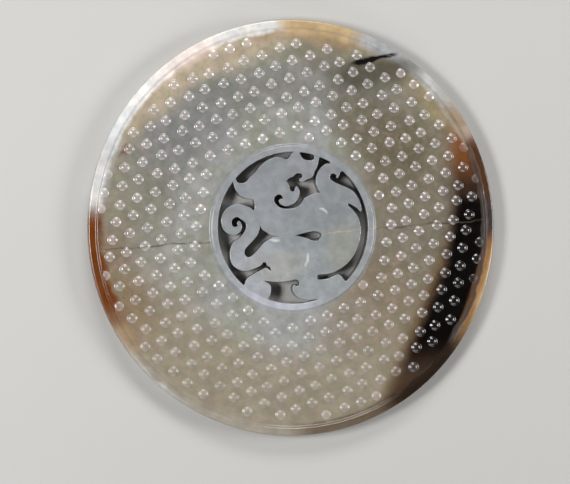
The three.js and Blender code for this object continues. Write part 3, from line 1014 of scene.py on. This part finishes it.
    def with_gold(self, colour):
        """The golden rim beside the dark patch. It is widest at its middle angle and palest at the edge."""
        off_middle = self.math("SUBTRACT", self.angle, GOLD_MIDDLE)
        bend = self.math("POWER", off_middle, 2.0)
        start = self.math("MULTIPLY_ADD", bend, GOLD_BEND, GOLD_START)
        into_gold = self.math("SUBTRACT", self.true_share, start)
        gold = self.where((into_gold, -0.008, 0.008), (self.angle, -41.0, -31.0), (self.angle, 1.0, -6.0))
        second = self.mix(self.step(into_gold, 0.0, 0.034), (88, 52, 26), (146, 104, 60))
        second = self.mix(self.step(into_gold, 0.034, 0.06), second, (178, 154, 116))
        second = self.over(second, (104, 92, 72), self.step(self.angle, -21.0, -32.0), 0.6)
        return self.mix(gold, colour, second)

    def with_dark_rim_foot(self, colour):
        """Darker brown at the foot of the rim on the stained side."""
        foot = self.product(self.stained_side, self.step(self.share, 0.969, 0.959))
        return self.over(colour, (40, 24, 13), foot, 0.8)

    def with_vein(self, colour):
        """The black vein at the upper right: thick at first, thin towards the rim, with smoke under it."""
        x, y = self.x, self.y
        smoke = self.product(self.cloud((26, 49.5), (26, 12), 12), self.step(y, 56.0, 51.0))
        colour = self.over(colour, (76, 72, 60), smoke, 0.85)
        drift = self.step(self.threads, 0.25, 0.75, -0.5, 0.5)
        line_y = self.math("ADD", self.math("MULTIPLY_ADD", x, VEIN_RISE, VEIN_HEIGHT), drift)
        off = self.math("ABSOLUTE", self.math("SUBTRACT", y, line_y))
        taper = self.where((x, 18.0, 22.0, 0.4, 1.0), (x, 24.0, 27.5, 1.0, 0.5))
        wide = self.product(self.step(self.mottle, 0.3, 0.7, 0.8, 1.3), taper)
        vein = self.step(self.math("DIVIDE", off, wide), 1.5, 0.5)
        along = self.where((x, 17.0, 20.5), (x, 34.0, 31.0))
        return self.mix(self.product(vein, along), colour, (18, 17, 17))

    def with_old_break(self, colour):
        """The old break, filled dark on the field and tan on the dragon."""
        line_y = self.math("MULTIPLY_ADD", self.x, BREAK_RISE, BREAK_HEIGHT_AT_MIDDLE)
        for rate, start, size in BREAK_WAVES:
            wave = self.math("SINE", self.math("MULTIPLY_ADD", self.x, rate, start))
            line_y = self.math("MULTIPLY_ADD", wave, size * BREAK_WAVER, line_y)
        off = self.math("ABSOLUTE", self.math("SUBTRACT", self.y, line_y))
        thin = self.step(off, 0.38, 0.08)
        worn = self.step(self.threads, 0.36, 0.58, 0.2, 0.8)
        field_break = self.product(thin, worn, self.math("SUBTRACT", 1.0, self.centre))
        colour = self.mix(field_break, colour, (74, 66, 54))
        right_half = self.product(self.step(self.x, 8.0, 12.0), self.centre)
        return self.over(colour, (176, 164, 140), self.product(thin, right_half), 0.5)

    def with_pale_nubs_and_painted_glow(self, colour):
        """The nubs are paler than the ground between them, partly their paler stone and partly painted
        light, a glow and sheen on their sides standing in for light through and off the polished jade; less
        on their crowns and in the stains.
        """
        ground = DISC_THICKNESS - FIELD_DEPTH
        # Painted light: the paling of the nubs is partly a painted glow and sheen on their sides, and partly
        # their paler stone.
        nub = self.where(
            (self.z, ground + 0.03, ground + 0.2),
            (self.radius, RING_RADIUS, RING_RADIUS + 0.4),
            (self.true_share, 0.954, 0.948),
        )
        uneven = self.step(self.mottle, 0.3, 0.7, 0.34, 0.52)
        crown = self.step(self.z, ground + 0.22, ground + 0.62, 1.0, 0.45)
        height = self.step(self.y, -44.0, 4.0, 0.45, 1.0)
        stain = self.math("MAXIMUM", self.black, self.product(self.rust, 0.8))
        unstained = self.math("MULTIPLY_ADD", stain, -0.88, 1.0)
        return self.mix(self.product(uneven, crown, height, unstained, nub), colour, (206, 197, 197))

    def with_painted_wall_shade_and_back(self, colour):
        """The sawn walls of the openings are painted dark as shade, so the openings read as deep and shaded,
        and the back is a little browner than the front.
        """
        # Painted shade: the walls of the openings are darkened in colour to stand for the shade inside them.
        wall = self.where(
            (self.z, 0.15, 0.6),
            (self.z, DISC_THICKNESS - 0.4, DISC_THICKNESS - 0.8),
            (self.radius, RING_RADIUS, RING_RADIUS - 1.0),
        )
        colour = self.over(colour, (50, 46, 40), wall, 0.95)
        back = self.step(self.z, 0.6 * DISC_THICKNESS, 0.4 * DISC_THICKNESS)
        return self.over(colour, (138, 130, 112), back, 0.15)

    def roughness(self):
        """Polished stone, duller low down where it is worn, and dull at the foot of the rim on the stained
        side.
        """
        polish = self.step(self.threads, 0.3, 0.75, 0.17, 0.25)
        dark = self.math("MAXIMUM", self.black, self.arc(-49, 14, 0.95))
        rubbed = self.where((self.share, 0.948, 0.956), (self.share, 0.976, 0.968))
        unworn = self.math("MAXIMUM", dark, rubbed)
        wear = self.product(self.step(self.y, 4.0, -46.0, 0.0, 1.05), self.math("SUBTRACT", 1.0, unworn))
        worn_polish = self.product(polish, self.math("ADD", wear, 1.0))
        dull = self.product(self.stained_side, self.step(self.share, 0.976, 0.969))
        return self.math("MAXIMUM", worn_polish, self.product(dull, 0.8))

    def bumped(self):
        """The surface's fine unevenness: a grain, and soft waves over it."""
        normal = None
        for settings, strength, height in ((GRAIN, 0.16, 0.12), (SOFT_WAVES, 0.25, 0.35)):
            bump = self.node("ShaderNodeBump")
            self.fill(bump, {"Strength": strength, "Distance": height * MM, "Height": self.noise(settings)})
            if normal is not None:
                self.put(bump.inputs["Normal"], normal)
            normal = bump.outputs[0]
        return normal


def jade_material():
    jade = OldJade()
    colour = jade.field()
    for with_layer in (jade.with_centre, jade.with_dark_patch, jade.with_rim, jade.with_dark_rim_foot, jade.with_vein,
                       jade.with_old_break, jade.with_pale_nubs_and_painted_glow, jade.with_painted_wall_shade_and_back):
        colour = with_layer(colour)
    mottling = jade.step(jade.mottle, 0.3, 0.72, 0.82, 1.06)
    shader = jade.node("ShaderNodeBsdfPrincipled")
    jade.fill(shader, JADE_SETTINGS)
    jade.fill(shader, {
        "Base Color": jade.vector("SCALE", colour, Scale=mottling),
        "Roughness": jade.roughness(),
        "Normal": jade.bumped(),
    })
    return jade.finished(shader)


def floor_material():
    plain = Material("pale_floor")
    shader = plain.node("ShaderNodeBsdfPrincipled")
    plain.fill(shader, {"Base Color": tone(*FLOOR_TONE), "Roughness": FLOOR_ROUGHNESS})
    return plain.finished(shader)


def add_floor():
    mesh = bpy.data.meshes.new("floor")
    corners = [(x * FLOOR_REACH, y * FLOOR_REACH, 0) for x, y in ((-1, -1), (1, -1), (1, 1), (-1, 1))]
    mesh.from_pydata(corners, [], [(0, 1, 2, 3)])
    mesh.materials.append(floor_material())
    placed("floor", mesh)


def add_softbox(name, direction, elevation, size, power):
    """A soft rectangular lamp that points at the disc."""
    light = bpy.data.lights.new(name, "AREA")
    light.shape = "RECTANGLE"
    light.size, light.size_y = size
    light.energy = power
    lamp = placed(name, light)
    turn, rise = math.radians(direction), math.radians(elevation)
    side = math.cos(rise)
    lamp.location = SOFTBOX_DISTANCE * Vector((side * math.cos(turn), side * math.sin(turn), math.sin(rise)))
    lamp.rotation_euler = (-lamp.location).to_track_quat("-Z", "Y").to_euler()


def add_camera():
    """The camera looks down on the disc from a little to its left."""
    tilt = math.radians(CAMERA_TILT)
    off_x, off_y = CAMERA_OFF_CENTRE
    target = Vector((-off_x * MM_PER_PIXEL, -off_y * MM_PER_PIXEL, DISC_THICKNESS))
    data = bpy.data.cameras.new("camera")
    camera = placed("camera", data)
    back = Vector((-math.sin(tilt), 0, math.cos(tilt)))
    camera.location = (target + CAMERA_DISTANCE * back) * MM
    camera.rotation_euler = (0, -tilt, 0)
    data.sensor_fit = "HORIZONTAL"
    data.sensor_width = CAMERA_SENSOR_WIDTH
    data.lens = data.sensor_width * CAMERA_DISTANCE / (IMAGE_WIDTH * MM_PER_PIXEL)
    data.clip_start = 0.01
    bpy.context.scene.camera = camera


def light_the_room():
    for softbox in SOFTBOXES:
        add_softbox(*softbox)
    world = bpy.data.worlds.new("studio")
    world.use_nodes = True
    background = world.node_tree.nodes["Background"]
    background.inputs["Color"].default_value = tone(255, 255, 255)
    background.inputs["Strength"].default_value = WORLD_LIGHT
    bpy.context.scene.world = world
    bpy.context.scene.view_settings.view_transform = "Standard"


disc = placed("jade_bi_disc_finish", disc_mesh())
disc.data.materials.append(jade_material())
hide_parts("jade_bi_disc")
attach(disc, "root")

add_floor()
light_the_room()
add_camera()
